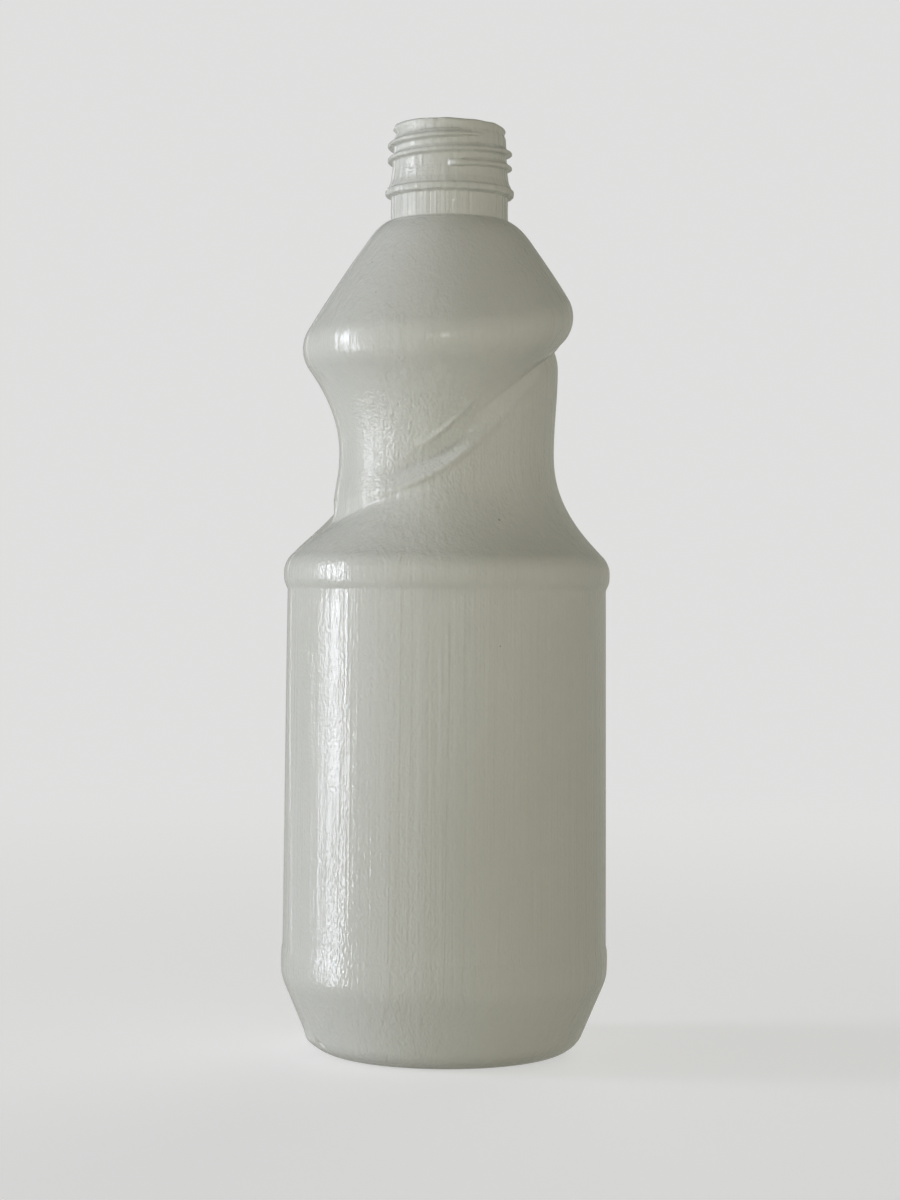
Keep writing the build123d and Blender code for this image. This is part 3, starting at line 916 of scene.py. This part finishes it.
def makeFloor():
    deselectAll()
    bpy.ops.mesh.primitive_circle_add(
        vertices=studio["floorSides"], radius=studio["floorRadius"], fill_type="TRIFAN")
    floor = bpy.context.object
    floor.name = "floor"
    material = bpy.data.materials.new("paleFloor")
    material.use_nodes = True
    nodes, links = material.node_tree.nodes, material.node_tree.links
    shader = nodes["Principled BSDF"]
    shader.inputs["Base Color"].default_value = (*studio["floorColour"], 1)
    shader.inputs["Roughness"].default_value = studio["floorRoughness"]
    shader.inputs["Specular IOR Level"].default_value = studio["floorShine"]
    coordinates = nodes.new("ShaderNodeTexCoord")
    distance = nodes.new("ShaderNodeVectorMath")
    distance.operation = "LENGTH"
    links.new(coordinates.outputs["Object"], distance.inputs[0])
    fade = nodes.new("ShaderNodeMapRange")
    fade.interpolation_type = "SMOOTHSTEP"
    fade.inputs["From Min"].default_value = studio["fadeStart"]
    fade.inputs["From Max"].default_value = studio["fadeEnd"]
    links.new(distance.outputs["Value"], fade.inputs["Value"])
    pale = nodes.new("ShaderNodeEmission")
    pale.inputs["Color"].default_value = (*studio["paleColour"], 1)
    glow = nodes.new("ShaderNodeEmission")
    glow.inputs["Strength"].default_value = studio["floorGlow"]
    near = nodes.new("ShaderNodeAddShader")
    links.new(shader.outputs["BSDF"], near.inputs[0])
    links.new(glow.outputs["Emission"], near.inputs[1])
    seen = nodes.new("ShaderNodeMixShader")
    links.new(fade.outputs["Result"], seen.inputs["Fac"])
    links.new(near.outputs["Shader"], seen.inputs[1])
    links.new(pale.outputs["Emission"], seen.inputs[2])
    links.new(
        rayMix(nodes, links, seen.outputs["Shader"], shader.outputs["BSDF"]),
        nodes["Material Output"].inputs["Surface"],
    )
    floor.data.materials.append(material)
    floor.visible_glossy = False  # or its edge would cut off the window's shine on the foot


def makeWorld():
    world = bpy.data.worlds.new("studioWorld")
    bpy.context.scene.world = world
    world.use_nodes = True
    nodes, links = world.node_tree.nodes, world.node_tree.links
    ambient = nodes["Background"]
    ambient.inputs["Color"].default_value = (*studio["ambientColour"], 1)
    coordinates = nodes.new("ShaderNodeTexCoord")
    direction = nodes.new("ShaderNodeSeparateXYZ")
    links.new(coordinates.outputs["Generated"], direction.inputs["Vector"])
    sky = nodes.new("ShaderNodeMapRange")
    sky.inputs["From Max"].default_value = studio["skyRise"]
    sky.inputs["To Min"].default_value = studio["ambient"] * studio["skyLow"]
    sky.inputs["To Max"].default_value = studio["ambient"] * studio["skyHigh"]
    links.new(direction.outputs["Z"], sky.inputs["Value"])
    links.new(sky.outputs["Result"], ambient.inputs["Strength"])
    pale = nodes.new("ShaderNodeBackground")
    pale.inputs["Color"].default_value = (*studio["paleColour"], 1)
    links.new(
        rayMix(nodes, links, pale.outputs["Background"], ambient.outputs["Background"]),
        nodes["World Output"].inputs["Surface"],
    )


def makeLamps():
    for name, ownValues in studio["lamps"].items():
        lamp = {**studio["plainLamp"], **ownValues}
        data = bpy.data.lights.new(name, "AREA")
        data.shape = "RECTANGLE"
        data.size, data.size_y = lamp["wide"], lamp["tall"]
        data.spread = math.radians(lamp["spread"])
        data.energy = lamp["watts"]
        data.color = lamp["colour"]
        holder = bpy.data.objects.new(name, data)
        bpy.context.scene.collection.objects.link(holder)
        holder.location = atTurn(lamp["facing"] + frontTurn, lamp["away"], lamp["level"])
        aimed = (Vector((0, 0, lamp["aim"])) - holder.location).to_track_quat("-Z", "Y")
        leaned = aimed @ Quaternion((0, 0, 1), math.radians(lamp["lean"]))
        holder.rotation_euler = leaned.to_euler()
        holder.visible_glossy = lamp["gloss"]
        holder.visible_camera = False


# Camera level with the middle of the bottle, as the photograph was taken
view = {
    "away": 0.575, "level": 0.0988, "tilt": 90.0, "roll": -0.43,
    "lens": 78.4, "sensor": 36, "shift": 0.0028, "nearest": 0.01,
}


def makeCamera():
    data = bpy.data.cameras.new("camera")
    data.lens = view["lens"]
    data.sensor_width = view["sensor"]
    data.shift_x = view["shift"]
    data.clip_start = view["nearest"]
    camera = bpy.data.objects.new("camera", data)
    bpy.context.scene.collection.objects.link(camera)
    camera.location = atTurn(frontTurn, view["away"], view["level"])
    angles = (view["tilt"], view["roll"], frontTurn - 270)
    camera.rotation_euler = [math.radians(angle) for angle in angles]
    bpy.context.scene.camera = camera


makeFloor()
makeWorld()
makeLamps()
makeCamera()
bpy.context.scene.view_settings.view_transform = "Standard"
print("studio: floor, lamps and camera are set")
